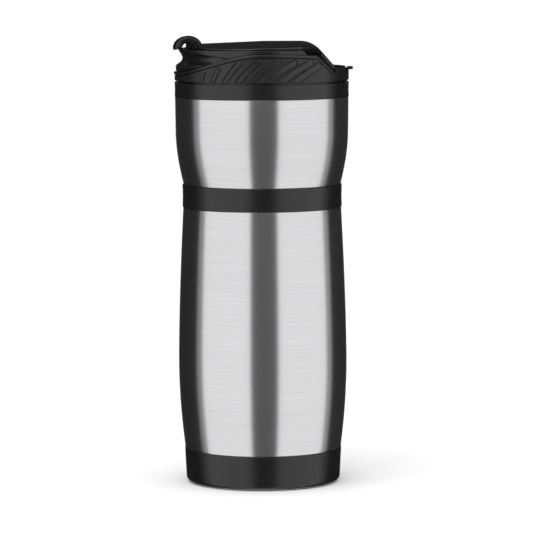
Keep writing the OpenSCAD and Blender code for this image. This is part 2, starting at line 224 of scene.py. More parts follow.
def brushed(name, base, rough, aniso, grain=1.0):
    m, t, b = material(name)
    s = t.nodes.new("ShaderNodeSeparateXYZ")
    t.links.new(coords(t), s.inputs[0])
    # fine lines: noise that changes quickly with height and slowly round the mug
    layers = []
    for side, up, detail in ((9.0, 5200.0, 2.0), (22.0, 1900.0, 3.0), (6.0, 45.0, 2.0)):
        j = t.nodes.new("ShaderNodeCombineXYZ")
        t.links.new(maths(t, "MULTIPLY", s.outputs[0], side), j.inputs[0])
        t.links.new(maths(t, "MULTIPLY", s.outputs[1], side), j.inputs[1])
        t.links.new(maths(t, "MULTIPLY", s.outputs[2], up), j.inputs[2])
        layers.append(noise(t, j.outputs[0], 1.0, detail, 0.6))
    lines = maths(t, "ADD", maths(t, "MULTIPLY", layers[0], 0.6), maths(t, "MULTIPLY", layers[1], 0.4))
    tone = maths(t, "ADD", maths(t, "MULTIPLY", lines, 0.8), maths(t, "MULTIPLY", layers[2], 0.2))
    colour = ramp(t, tone, [(0.3, tuple(c * (1 - 0.10 * grain) for c in base)),
                            (0.7, tuple(min(1, c * (1 + 0.06 * grain)) for c in base))])
    t.links.new(colour, b.inputs["Base Color"])
    b.inputs["Metallic"].default_value = 1.0
    t.links.new(span(t, lines, rough * 0.9, rough * 1.12, 0.3, 0.7), b.inputs["Roughness"])
    b.inputs["Anisotropic"].default_value = aniso
    b.inputs["Anisotropic Rotation"].default_value = 0.25
    tan = t.nodes.new("ShaderNodeTangent")
    tan.direction_type = "RADIAL"
    tan.axis = "Z"
    t.links.new(tan.outputs[0], b.inputs["Tangent"])
    bump(t, b, lines, 0.05 * grain, 0.00004)
    return m


def plastic(name, base, rough, grain_mm=0.18, depth=0.25, scuff=0.25):
    m, t, b = material(name)
    v = coords(t)
    grain = noise(t, v, 1.0 / (grain_mm * MM), 3.0, 0.6)
    cloud = noise(t, v, 60.0, 4.0, 0.6)
    wear = noise(t, v, 420.0, 6.0, 0.7)
    tone = maths(t, "ADD", maths(t, "MULTIPLY", cloud, 0.6), maths(t, "MULTIPLY", grain, 0.4))
    t.links.new(ramp(t, tone, [(0.3, tuple(c * 0.8 for c in base)), (0.7, tuple(c * 1.25 for c in base))]),
                b.inputs["Base Color"])
    mixed = maths(t, "ADD", maths(t, "MULTIPLY", cloud, 1 - scuff), maths(t, "MULTIPLY", wear, scuff))
    t.links.new(span(t, mixed, rough * 0.85, rough * 1.18, 0.3, 0.7), b.inputs["Roughness"])
    bump(t, b, grain, depth, 0.00002)
    return m


def silicone(name, base, rough=0.55):
    m, t, b = material(name)
    v = coords(t)
    dust = noise(t, v, 900.0, 6.0, 0.75)
    cloud = noise(t, v, 90.0, 3.0, 0.6)
    t.links.new(ramp(t, maths(t, "ADD", maths(t, "MULTIPLY", dust, 0.5), maths(t, "MULTIPLY", cloud, 0.5)),
                     [(0.3, tuple(c * 0.8 for c in base)), (0.7, tuple(c * 1.3 for c in base))]),
                b.inputs["Base Color"])
    t.links.new(span(t, dust, rough * 0.9, rough * 1.15, 0.3, 0.7), b.inputs["Roughness"])
    b.inputs["Sheen Weight"].default_value = 0.15
    bump(t, b, dust, 0.2, 0.00005)
    return m


STEEL = brushed("shell_steel", (0.64, 0.64, 0.65), 0.22, 0.7)
LINER = brushed("liner_steel", (0.62, 0.62, 0.63), 0.2, 0.6, 1.4)
BLACK = plastic("body_plastic", (0.0055, 0.0055, 0.006), 0.27)
LIDBLACK = plastic("lid_plastic", (0.005, 0.005, 0.0055), 0.26)
COVER = plastic("cover_plastic", (0.006, 0.006, 0.0065), 0.3)
LEVER = plastic("lever_plastic", (0.005, 0.005, 0.0055), 0.25)
RUBBER = silicone("foot_rubber", (0.02, 0.02, 0.021), 0.7)
SEAL = silicone("silicone", (0.05, 0.05, 0.053), 0.5)
PINSTEEL = brushed("pin_steel", (0.55, 0.55, 0.56), 0.3, 0.3)


def foam():
    m, t, b = material("liner_foam")
    v = coords(t)
    w = t.nodes.new("ShaderNodeTexVoronoi")
    w.inputs["Scale"].default_value = 900.0
    t.links.new(v, w.inputs["Vector"])
    t.links.new(ramp(t, w.outputs["Distance"], [(0.0, (0.42, 0.39, 0.33)), (0.6, (0.62, 0.59, 0.52))]),
                b.inputs["Base Color"])
    t.links.new(span(t, w.outputs["Distance"], 0.75, 0.95), b.inputs["Roughness"])
    bump(t, b, w.outputs["Distance"], 0.6, 0.0003)
    return m


FOAM = foam()


def paint(node, mat):
    mats = NODE[node].data.materials
    if len(mats):
        for k in range(len(mats)):
            mats[k] = mat
    else:
        mats.append(mat)


for node, mat in {"foot_pad": RUBBER, "base_cap": BLACK, "liner_support_pad": FOAM, "inner_liner": LINER,
                  "lower_shell": STEEL, "waist_band": BLACK, "upper_shell": STEEL, "top_collar": BLACK,
                  "rim_seal": SEAL, "lid_gasket": SEAL, "lid_plug": LIDBLACK, "spout_body": LIDBLACK,
                  "spout_seal": SEAL, "lid_cover": COVER, "hinge_pin": PINSTEEL, "flip_lever": LEVER,
                  "drink_stopper": SEAL, "vent_stopper": SEAL}.items():
    paint(node, mat)

# ---------------------------------------------------------------- the mug's body
STEPS = 28             # segments of each curved stretch of a shell
T_STEEL = 0.6 * MM
T_SLEEVE = 1.2 * MM
T_LINER = 0.5 * MM
FIT = 0.1 * MM         # gap of pieces that slide together and stay
LAP = 6 * MM           # how far each sleeve reaches into a shell
BELLY_UP = 41 * MM     # height of the belly over the base cap
TUCK = 24 * MM         # height over which the upper shell curves in to the waist
BASE_TAPER = 0.8 * MM  # how much the base cap narrows to its foot
BASE_ROUND = 2.2       # rounding of the base cap's bottom edge, in millimetres
CAP_FLOOR = 2.6 * MM   # thickness of the base cap's floor
END_IN = 0.5 * MM      # how far a shell's end lies inside the waist band

belly_z = BASE_TOP + BELLY_UP
tuck_z = WAIST_TOP + TUCK
shell_low_r = BASE_R - 0.2 * MM
shell_high_r = WAIST_R - 0.3 * MM
upper_low_r = WAIST_R - END_IN
upper_top_r = high("upper_shell", 0)


def bulge_line(z_from, z_to, z0, r0, z1, r1, power, first=0):
    """Points (radius, height) of a bulge that is widest, r0, at z0 and passes r1 at z1."""
    heights = [z_from + (z_to - z_from) * i / STEPS for i in range(first, STEPS + 1)]
    return [(r0 - (r0 - r1) * (abs(z - z0) / abs(z1 - z0)) ** power, z) for z in heights]


def shell(name, line, bottom, top, node):
    """A steel shell behind an outline; bottom and top are the roundings of its outer edges."""
    flat = [0] * (len(line) - 2)
    outline = line + [(r - T_STEEL, z) for r, z in reversed(line)]
    lathe(name, fillet(outline, [bottom] + flat + [top, 0.1] + flat + [0.1]), "mug", STEEL,
          [node])


shell("lower_shell_skin",
      bulge_line(BASE_TOP, belly_z, belly_z, BELLY_R, BASE_TOP, shell_low_r, 2)
      + bulge_line(belly_z, WAIST_Z, belly_z, BELLY_R, WAIST_Z, shell_high_r, 1.55, 1),
      0.15, 0.25, "lower_shell")
shell("upper_shell_skin",
      bulge_line(WAIST_TOP, tuck_z, tuck_z, upper_top_r - 0.2 * MM, WAIST_TOP, upper_low_r, 1.8)
      + [(upper_top_r, COLLAR_Z)], 0.25, 0.15, "upper_shell")

sleeve_r = upper_low_r - T_STEEL - FIT
waist_mid = (WAIST_Z + WAIST_TOP) / 2
lathe("waist_band_moulding", fillet([
    (sleeve_r - T_SLEEVE, WAIST_Z - LAP), (sleeve_r, WAIST_Z - LAP), (sleeve_r, WAIST_Z), (WAIST_R, WAIST_Z),
    (WAIST_R - 0.15 * MM, waist_mid), (WAIST_R, WAIST_TOP), (sleeve_r, WAIST_TOP),
    (sleeve_r, WAIST_TOP + LAP), (sleeve_r - T_SLEEVE, WAIST_TOP + LAP)],
    [0.3, 0.3, 0.1, 0.45, 0, 0.45, 0.1, 0.3, 0.3]), "mug", BLACK, ["waist_band"])

cap_sleeve = shell_low_r - T_STEEL - FIT
floor_z = CAP_Z + CAP_FLOOR
pad_r = high("foot_pad", 0)
pad_top = high("foot_pad", 2)
lathe("base_cap_moulding", fillet([
    (0, pad_top), (pad_r + FIT, pad_top), (pad_r + FIT, CAP_Z), (BASE_R - BASE_TAPER, CAP_Z),
    (BASE_R, BASE_TOP), (cap_sleeve, BASE_TOP), (cap_sleeve, BASE_TOP + LAP),
    (cap_sleeve - T_SLEEVE, BASE_TOP + LAP), (cap_sleeve - T_SLEEVE, floor_z), (0, floor_z)],
    [0, 0.1, 0.3, BASE_ROUND, 0.4, 0.1, 0.3, 0.3, 0.8, 0], 8), "mug", BLACK, ["base_cap"])

# the foot pad, with ring grooves in its underside
GROOVE_RINGS = (6, 10.5, 15, 19.5, 24, 27)   # radii in millimetres
pad = [(0, 0)]
pad_radii = [0]
for ring_r in GROOVE_RINGS:
    pad += [((ring_r - 0.7) * MM, 0), ((ring_r - 0.4) * MM, 0.5 * MM), ((ring_r + 0.4) * MM, 0.5 * MM),
            ((ring_r + 0.7) * MM, 0)]
    pad_radii += [0.15, 0.1, 0.1, 0.15]
pad += [(pad_r, 0), (pad_r, pad_top), (0, pad_top)]
pad_radii += [0.35, 0.1, 0]
lathe("foot_pad_rubber", fillet(pad, pad_radii, 3), "mug", RUBBER, ["foot_pad"], 192)

mouth_r = RIM - 6 * MM
flange_r = RIM - 2.9 * MM
flange_z = BODY_TOP - 1.5 * MM
seat = BODY_TOP - 2.3 * MM
bore_r = mouth_r + T_LINER + FIT
collar_low = COLLAR_Z + 1.5 * MM
collar_sleeve = upper_top_r - T_STEEL - FIT
lathe("top_collar_moulding", fillet([
    (collar_sleeve, COLLAR_Z - LAP), (collar_sleeve, COLLAR_Z), (RIM, COLLAR_Z),
    (RIM - 0.12 * MM, COLLAR_Z + 3 * MM), (RIM, BODY_TOP), (flange_r + FIT, BODY_TOP), (flange_r + FIT, seat),
    (bore_r, seat), (bore_r, collar_low), (collar_sleeve - T_SLEEVE, collar_low),
    (collar_sleeve - T_SLEEVE, COLLAR_Z - LAP)],
    [0.3, 0.1, 0.35, 0, 0.2, 0.2, 0.1, 0.1, 0.2, 0.3, 0.3]), "mug", BLACK, ["top_collar"])

# ---------------------------------------------------------------- inner liner and gasket
AIR_GAP = 1.5 * MM     # between the liner and the waist band's sleeve
LINER_DRAFT = 2.9 * MM
SHOULDER = 8 * MM      # height of the cone below the liner's neck
liner_low = low("inner_liner", 2)
liner_wide = sleeve_r - T_SLEEVE - AIR_GAP - T_LINER
liner_foot = liner_wide - LINER_DRAFT
neck = BODY_TOP - 17.5 * MM
lathe("inner_liner_skin", fillet([
    (0, liner_low), (liner_foot + T_LINER, liner_low), (liner_wide + T_LINER, neck - SHOULDER),
    (mouth_r + T_LINER, neck), (mouth_r + T_LINER, flange_z), (flange_r, flange_z),
    (flange_r, flange_z + T_LINER), (mouth_r, flange_z + T_LINER), (mouth_r, neck),
    (liner_wide, neck - SHOULDER), (liner_foot, liner_low + T_LINER), (0, liner_low + T_LINER)],
    [0, 5, 2.5, 2.5, 0.2, 0.15, 0.15, 0.45, 2, 2, 4.5, 0], 8),
    "mug", LINER, ["inner_liner"], 192)

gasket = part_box("lid_gasket")
g_out, g_low, g_high = gasket[1][0], gasket[0][2], gasket[1][2]
g_back = g_out - 1.75 * MM
g_third = (g_high - g_low) / 3
lathe("lid_gasket_ring", fillet([
    (g_back, g_low), (g_out, g_low), (g_out, g_low + 0.6 * MM), (g_out - 0.5 * MM, g_low + g_third),
    (g_out - 0.5 * MM, g_high - g_third), (g_out, g_high - 0.6 * MM), (g_out, g_high), (g_back, g_high)],
    [0.1, 0.25, 0.25, 0.3, 0.3, 0.25, 0.25, 0.1], 4), "seal", SEAL, ["lid_gasket"], 192)

# ---------------------------------------------------------------- the cover's outline, in millimetres
rim, lid_z, deck = RIM / MM, LID_Z / MM, DECK / MM
hx, hz = PIN.x / MM, PIN.z / MM
MOVE = 0.3             # gap of pieces that pass each other
ROOF_T = 2.4           # thickness of the sloping roof
cover_low = lid_z + 4.0
crest_x, crest_z, big_r = rim - 38.5, deck - 1.7, 67.6
roof_x, roof_z = rim - 15, deck - 2.5
ledge_z = deck - 8.6
valley_x, valley_z = rim - 6.4, ledge_z - 1.8
SWEEP = math.radians(17.2)   # slope of the outline's straight stretch
arc_x, arc_z = crest_x - big_r * math.sin(SWEEP), crest_z - big_r * (1 - math.cos(SWEEP))
small_r = ((roof_x - crest_x) ** 2 + (crest_z - roof_z) ** 2) / (2 * (crest_z - roof_z))
valley_foot = valley_x - 0.4
ARM_SLOPE, OPEN = 48.8, 96   # the lever's slope and its opening, in degrees
SLOPE = math.radians(ARM_SLOPE)
BARREL_R = 1.8
face_out = BARREL_R - 0.06   # distance of the arm's outer face from the hinge axis
arm_t = 2.0
arm_half = 10.0
notch_half = arm_half + MOVE
rise = math.radians(180 - ARM_SLOPE - OPEN)   # slope of the ramp that stops the arm


def cover_top(x):
    """Height of the cover's edge at x, seen from the side."""
    if x < arc_x:
        return max(cover_low, arc_z - (arc_x - x) * math.tan(SWEEP))
    if x < crest_x:
        return crest_z - big_r + math.sqrt(big_r ** 2 - (x - crest_x) ** 2)
    if x < roof_x:
        return crest_z - small_r + math.sqrt(small_r ** 2 - (x - crest_x) ** 2)
    if x < valley_foot:
        return roof_z + (valley_z - roof_z) * (x - roof_x) / (valley_foot - roof_x)
    return valley_z if x < valley_x else ledge_z


def notch_floor(x):
    """Height at x of the ramp that stops the arm."""
    return hz + (x - hx) * math.tan(rise) - (face_out + MOVE) / math.cos(rise)


def wave_bars():
    """Centre lines of the raised bars, as (arc position, height) points from the skirt's bottom edge."""
    bars = []
    top_h = 14
    for k in range(8):
        start = -30.5 + 6.6 * k
        lean = 0.38 + 0.10 * k
        bend = 0.004 + 0.011 * k
        width = 2.0 + 0.16 * k
        points = []
        h = -2.0
        while h < top_h:
            a = start + lean * h + bend * max(h, 0) ** 2
            x = rim * math.sin(a / rim)
            if abs(a) < 1.5 * rim and h > cover_top(x) - lid_z - 2.9 - 0.3 * (k % 2):
                break
            points.append((a, h))
            h += 0.5
        if len(points) > 6:
            bars.append((points, width))
    return bars


def relief(a, h, top):
    """How far the skirt stands proud, in millimetres, at an arc position a and a height h, below a top
    edge at height top."""
    d = top - h
    bead_down, bead_half, groove_down = 0.72, 0.58, 1.5
    out = 0.32 * np.sqrt(np.clip(1 - ((d - bead_down) / bead_half) ** 2, 0, 1))
    out -= 0.40 * np.exp(-((d - groove_down) / 0.2) ** 2)
    near = np.full(a.shape, 99.0)
    for points, width in wave_bars():
        pts = np.array(points)
        best = np.full(a.shape, 99.0)
        for (ax, ay), (bx, by) in zip(pts[:-1], pts[1:]):
            vx, vy = bx - ax, by - ay
            t = np.clip(((a - ax) * vx + (h - ay) * vy) / (vx * vx + vy * vy), 0, 1)
            best = np.minimum(best, np.hypot(a - ax - t * vx, h - ay - t * vy))
        near = np.minimum(near, best - width / 2)
    # the pattern fades out below the bead and at both ends
    field = (np.clip((d - 2.0) / 0.5, 0, 1) * np.clip((a + 36) / 4, 0, 1) * np.clip((33 - a) / 5, 0, 1))
    bar = np.clip(-near / 0.3, 0, 1)
    edge = np.exp(-(near / 0.22) ** 2)
    hatch_pitch = 0.95
    hatch = 0.5 + 0.5 * np.cos(2 * math.pi * (a * 0.92 + h * 0.55) / hatch_pitch)
    between = np.clip(near / 0.4, 0, 1) * np.clip((9 - near) / 4, 0, 1)
    return out + field * (0.18 * bar - 0.42 * edge - 0.13 * hatch * between)


def skirt():
    """The cover's outside wall: closed round the lid, with the grip pattern, a bead along its top edge
    and rounded edges."""
    n = 1100
    inside = rim - 0.65
    # angles where the top edge jumps get a column close on either side
    marks = [math.acos(valley_x / rim), math.acos(valley_foot / rim), math.asin(notch_half / rim)]
    marks = sorted(marks + [2 * math.pi - m for m in marks])
    angles = [2 * math.pi * k / n for k in range(n)]
    angles = [t for t in angles if min(abs(t - m) for m in marks) > 0.002]
    for m in marks:
        angles += [m - 2e-4, m + 2e-4]
    angles.sort()
    tops = []
    for t in angles:
        x, y = rim * math.cos(t), rim * math.sin(t)
        z = cover_top(x)
        if x > hx and abs(y) < notch_half:
            z = min(z, notch_floor(x * inside / rim))
        tops.append(z - lid_z)
    tops = np.array(tops)
    t = np.array(angles)
    x = rim * np.cos(t)
    a = rim * np.arcsin(np.clip(x / rim, -1, 1))
    rows = 84
    e = 0.35   # rounding of the top edge
    wall = []
    for i in range(rows + 1):
        h = e + (tops - 2 * e) * i / rows
        out = np.where(x > valley_x - 1.0, 0.0, relief(a, h, tops))
        wall.append((rim - 0.02 + out, h))
    low_edge = np.full_like(t, 0.12)
    loop = [(np.full_like(t, inside), low_edge), (np.full_like(t, rim - 0.22), low_edge),
            (np.full_like(t, rim - 0.08), low_edge + 0.1)] + wall
    top_out = wall[-1][0]
    for q in (30, 60, 90):
        c = math.radians(q)
        loop.append((top_out - e + e * math.cos(c), tops - e + e * math.sin(c)))
    loop.append((np.full_like(t, inside), tops))
    vs, faces = [], []
    m = len(t)
    for r_, h_ in loop:
        for k in range(m):
            vs.append((float(r_[k]) * math.cos(t[k]) * MM, float(r_[k]) * math.sin(t[k]) * MM,
                       (lid_z + float(h_[k])) * MM))
    c = len(loop)
    for i in range(c):
        j = (i + 1) % c
        for k in range(m):
            q = (k + 1) % m
            faces.append((i * m + k, i * m + q, j * m + q, j * m + k))
    piece("lid_grip_skirt", vs, faces, "lid", COVER, 50)


skirt()


def copy_of(node, name, body, mat, pull):
    """A copy of a CAD mesh, welded, with its points moved by pull."""
    mesh = NODE[node].data.copy()
    mesh.name = name
    obj = bpy.data.objects.new(name, mesh)
    bpy.context.scene.collection.objects.link(obj)
    bm = bmesh.new()
    bm.from_mesh(mesh)
    bmesh.ops.remove_doubles(bm, verts=bm.verts, dist=1e-6)
    for v in bm.verts:
        pull(v)
    bmesh.ops.dissolve_limit(bm, angle_limit=math.radians(0.6), verts=bm.verts, edges=bm.edges)
    bm.to_mesh(mesh)
    bm.free()
    tidy_normals(obj, 32)
    mesh.materials.clear()
    mesh.materials.append(mat)
    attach(obj, body)
    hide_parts(node)


def pull_wall(v):
    """Sets a point of the cover's outside wall back under the skirt."""
    r_ = math.hypot(v.co.x, v.co.y)
    if abs(r_ - RIM) < 0.05 * MM:
        set_back = (RIM - 0.4 * MM) / r_
        v.co.x *= set_back
        v.co.y *= set_back


copy_of("lid_cover", "lid_cover_moulding", "lid", COVER, pull_wall)

# ---------------------------------------------------------------- spout body: a turned solid, then cut


def placed(points):
    return [(x * MM, y * MM, z * MM) for x, y, z in points]


def prism_faces(n):
    """The faces between two outlines of n points, and the two ends."""
    return ([list(range(n)), list(range(2 * n - 1, n - 1, -1))]
            + [(k, n + k, n + (k + 1) % n, (k + 1) % n) for k in range(n)])


def ring_faces(rows, n):
    """The faces of a closed ring: rows round the axis, each a closed outline of n points."""
    return [(n * k + i, n * ((k + 1) % rows) + i, n * ((k + 1) % rows) + (i + 1) % n, n * k + (i + 1) % n)
            for k in range(rows) for i in range(n)]


def prism(points, half_y):
    """A cutter: an outline in (x, z) millimetres, between -half_y and half_y."""
    return (placed((x, -half_y, z) for x, z in points) + placed((x, half_y, z) for x, z in points),
            prism_faces(len(points)))


def cut(target, solid):
    """Takes a cutter, given as its points and faces, out of a piece."""
    vs, fs = solid
    mesh = bpy.data.meshes.new("cutter")
    mesh.from_pydata(vs, [], fs)
    bm = bmesh.new()
    bm.from_mesh(mesh)
    bmesh.ops.recalc_face_normals(bm, faces=bm.faces)
    bm.to_mesh(mesh)
    bm.free()
    c = bpy.data.objects.new("cutter", mesh)
    bpy.context.scene.collection.objects.link(c)
    mod = target.modifiers.new("cut", "BOOLEAN")
    mod.operation = "DIFFERENCE"
    mod.solver = "EXACT"
    mod.object = c
    bpy.context.view_layer.update()
    done = bpy.data.meshes.new_from_object(target.evaluated_get(bpy.context.evaluated_depsgraph_get()))
    target.modifiers.clear()
    old = target.data
    target.data = done
    bpy.data.objects.remove(c)
    bpy.data.meshes.remove(mesh)
    bpy.data.meshes.remove(old)


def upright_slot(x, w, l, z0, z1, steps=24):
    """A cutter: an upright bar with round ends, long in Y."""
    ring_pts = []
    s = (l - w) / 2
    for k in range(steps + 1):
        t = math.pi * k / steps
        ring_pts.append((x + w / 2 * math.cos(t), s + w / 2 * math.sin(t)))
    for k in range(steps + 1):
        t = math.pi + math.pi * k / steps
        ring_pts.append((x + w / 2 * math.cos(t), -s + w / 2 * math.sin(t)))
    return (placed((px, py, z0) for px, py in ring_pts) + placed((px, py, z1) for px, py in ring_pts),
            prism_faces(len(ring_pts)))


WALL = 1.8             # thickness of the plastic mouldings
DISH = 0.6             # how far the drinking deck lies below its rim
plug_top = BODY_TOP / MM + 1.5
spout_r = rim - 1.8
neck_r, neck_z = rim - 4.4, deck - 4.9
bone_r, bone_top = rim - 0.6, cover_low + 3
lip_r = spout_r - 0.05
under = deck - WALL
spout = lathe("spout_body_moulding", fillet([(r_ * MM, z_ * MM) for r_, z_ in [
    (0, under), (neck_r - WALL, under), (neck_r - WALL, neck_z - 1.5), (spout_r - WALL, bone_top - WALL),
    (spout_r - WALL, plug_top), (bone_r, plug_top), (bone_r, bone_top), (bone_r - 0.8, deck - 2),
    (lip_r, deck - 0.7), (lip_r, deck), (spout_r - 2, deck), (spout_r - 2.8, deck - DISH),
    (0, deck - DISH)]], [0, 0.3, 0.5, 0.5, 0.2, 0.2, 4, 2, 0.6, 0.35, 0.3, 0.5, 0], 6),
    "lid", LIDBLACK, ["spout_body"], 240)

# room for the sloping roof and for the hinge ears; the far corners only have to lie clear of the lid
far_low, far_high, far_x = 160, deck + 4, 90
roof_angle = math.atan2(roof_z - valley_z, valley_foot - roof_x)
back = (ROOF_T + MOVE) / math.sin(roof_angle)
foot_x = valley_foot - back + (valley_z - far_low) / math.tan(roof_angle)
head_x = roof_x - back - (far_high - roof_z) / math.tan(roof_angle)
cut(spout, prism([(head_x, far_high), (foot_x, far_low), (far_x, far_low), (far_x, far_high)], 60))
cut(spout, prism([(hx - 5, 150), (95, 150), (95, 240), (hx - 5, 240)], 62))


def wrapped_cutter(inner, outer, z0, top_fn, n=360):
    """A cutter: a ring whose top follows a side outline."""
    vs = []
    for k in range(n):
        t = 2 * math.pi * (k + 0.5) / n
        top = top_fn(rim * math.cos(t))
        vs += [(r_ * math.cos(t) * MM, r_ * math.sin(t) * MM, z_ * MM)
               for r_, z_ in ((inner, z0), (outer, z0), (outer, top), (inner, top))]
    return vs, ring_faces(n, 4)


def neck_cutter(n=240):
    """A cutter: the groove that draws the spout in below its lip. Its centre lies towards the hinge, so it
    fades out."""
    shift = 3.75
    deep = neck_r + shift
    outline = [(deep + 6, neck_z + 9.2), (deep + 6, neck_z - 5.6)]
    outline += [(p.x / MM, p.y / MM) for p in fillet(
        [((deep + 3.8) * MM, (bone_top - 0.1) * MM), (deep * MM, neck_z * MM),
         ((deep + 2.6) * MM, (deck - 0.7) * MM)], [0, 2.4, 0], 8)]
    vs = []
    for k in range(n):
        t = 2 * math.pi * (k + 0.25) / n
        vs += placed((shift + r_ * math.cos(t), r_ * math.sin(t), z_) for r_, z_ in outline)
    return vs, ring_faces(n, len(outline))


# the neck is cut first: after the ring's cut the solver leaves the piece empty
GAP_LINE = 0.55        # height of the dark gap over the cover's edge
cut(spout, neck_cutter())
cut(spout, wrapped_cutter(spout_r, rim + 3, lid_z + 0.1, lambda x: min(cover_top(x) + GAP_LINE, deck - 0.5)))
hole_x, vent_x = -(rim - 16), -(rim - 30)
cut(spout, upright_slot(hole_x, 8, 18, under - 1, deck + 1))
cut(spout, upright_slot(vent_x, 3, 3.01, under - 1.1, deck + 1.1))
tidy_normals(spout, 32)

# ---------------------------------------------------------------- flip lever
lever_top, lever_under = deck + 3.1, deck + 0.1
plate_r = rim - 5.5
CROWN = 2.1            # how far the plate's top falls from its middle to its edge
crown_r = (plate_r ** 2 + CROWN ** 2) / (2 * CROWN)
bend_r = 12.6
bend_z = lever_top - bend_r * (1 - math.cos(SLOPE))
bend_x = hx + face_out / math.sin(SLOPE) - (bend_z - hz) / math.tan(SLOPE) - bend_r * math.sin(SLOPE)
hook_a, hook_b, hook_t = 6.7, 5.2, 3.2   # half length, height and thickness of the thumb hook
hook_r = rim + 0.7
hook_x, hook_z = -(hook_r - hook_a), deck + 0.4
hook_half, web_half = 11.0, 9.0
EDGE_TOP, EDGE_LOW = 0.7, 0.25           # rounding of the plate's side edges


def plate_half(x):
    """Half the lever's width at x: a round plate that narrows to the arm in two straight runs."""
    join = 18.0
    if x <= join:
        return math.sqrt(max(0.0, plate_r ** 2 - x ** 2))
    wide = math.sqrt(plate_r ** 2 - join ** 2)
    knee_x, knee = bend_x + 6.3, arm_half + 12
    first = wide + (knee - wide) * (x - join) / (knee_x - join)
    second = knee + (arm_half - knee) * (x - knee_x) / 4
    return max(arm_half, min(first, second) - 0.7 * math.exp(-((x - knee_x) / 0.9) ** 2))


def plate_top(x):
    """Height of the plate's top on its centre line."""
    stops = [(-plate_r, deck + 1.15), (hook_x + hook_a, deck + 1.95), (bend_x - 17, lever_top)]
    if x >= stops[-1][0]:
        return lever_top
    for (xa, za), (xb, zb) in zip(stops, stops[1:]):
        if x <= xb:
            t = (x - xa) / (xb - xa)
            return za + (zb - za) * t
    return lever_top


def loft(rings, name_verts, name_faces):
    """Adds a closed body made of equal rings, with flat ends, to lists of points and faces."""
    base = len(name_verts)
    n = len(rings[0])
    for ring_ in rings:
        name_verts += placed(ring_)
    for i in range(len(rings) - 1):
        a, b = base + i * n, base + (i + 1) * n
        for k in range(n):
            q = (k + 1) % n
            name_faces.append((a + k, a + q, b + q, b + k))
    name_faces.append(tuple(base + k for k in range(n)))
    name_faces.append(tuple(base + (len(rings) - 1) * n + k for k in range(n - 1, -1, -1)))


def section(top, low_, half, e_top, e_low, across=18):
    """A ring across the lever between a top and an underside point, with rounded side edges."""
    (tx, tz), (bx, bz) = top, low_
    thick = math.hypot(tx - bx, tz - bz)
    ux, uz = (tx - bx) / thick, (tz - bz) / thick
    e_top = min(e_top, half * 0.45, thick * 0.5)
    e_low = min(e_low, half * 0.45, thick * 0.35)
    ring_ = []

    def at(y, t):
        drop = min(y * y / (2 * crown_r), thick - 0.75 if thick > 1.4 else 0.0)
        t = t if t < 0.5 else t - drop
        return (bx + ux * t, y, bz + uz * t)

    for k in range(-across, across + 1):
        ring_.append(at((half - e_top) * k / across, thick))
    for q in (22.5, 45, 67.5, 90):
        c = math.radians(q)
        ring_.append(at(half - e_top + e_top * math.sin(c), thick - e_top * (1 - math.cos(c))))
    for q in (0, 30, 60, 90):
        c = math.radians(q)
        y, t = half - e_low + e_low * math.cos(c), e_low - e_low * math.sin(c)
        ring_.append((bx + ux * t, y, bz + uz * t))
    for k in range(across - 1, -across, -1):
        ring_.append((bx, (half - e_low) * k / across, bz))
    for q in (90, 60, 30, 0):
        c = math.radians(q)
        y, t = half - e_low + e_low * math.cos(c), e_low - e_low * math.sin(c)
        ring_.append((bx + ux * t, -y, bz + uz * t))
    for q in (90, 67.5, 45, 22.5):
        c = math.radians(q)
        ring_.append(at(-(half - e_top + e_top * math.sin(c)), thick - e_top * (1 - math.cos(c))))
    return ring_


lv, lf = [], []
rings = []
for k in range(1, 46):
    x = -plate_r * math.cos(math.radians(2.0 * k))
    rings.append(section((x, plate_top(x)), (x, lever_under), plate_half(x), EDGE_TOP, EDGE_LOW))
x = 1.2
while x < bend_x - 0.2:
    rings.append(section((x, plate_top(x)), (x, lever_under), plate_half(x), EDGE_TOP, EDGE_LOW))
    x += 0.9
for k in range(19):
    c = math.pi / 2 - SLOPE * k / 18
    thin = bend_r - (lever_top - lever_under)
    cx, cz = bend_x, lever_top - bend_r
    top = (cx + bend_r * math.cos(c), cz + bend_r * math.sin(c))
    rings.append(section(top, (cx + thin * math.cos(c), cz + thin * math.sin(c)), plate_half(top[0]),
                         EDGE_TOP + 0.3 * k / 18, EDGE_LOW))
top_a, low_a = top, (cx + thin * math.cos(c), cz + thin * math.sin(c))
top_b = (hx + face_out * math.sin(SLOPE), hz + face_out * math.cos(SLOPE))
low_b = (hx + (face_out - arm_t) * math.sin(SLOPE), hz + (face_out - arm_t) * math.cos(SLOPE))
for k in range(1, 9):
    t = k / 8
    rings.append(section((top_a[0] + (top_b[0] - top_a[0]) * t, top_a[1] + (top_b[1] - top_a[1]) * t),
                         (low_a[0] + (low_b[0] - low_a[0]) * t, low_a[1] + (low_b[1] - low_a[1]) * t),
                         arm_half, EDGE_TOP + 0.3, EDGE_LOW))
loft(rings, lv, lf)

# the barrel that runs on the pin
barrel = []
for y, r_ in ((-arm_half, BARREL_R - 0.25), (-arm_half + 0.25, BARREL_R), (arm_half - 0.25, BARREL_R),
              (arm_half, BARREL_R - 0.25)):
    barrel.append([(hx + r_ * math.cos(2 * math.pi * k / 48), y, hz + r_ * math.sin(2 * math.pi * k / 48))
                   for k in range(48)])
loft(barrel, lv, lf)

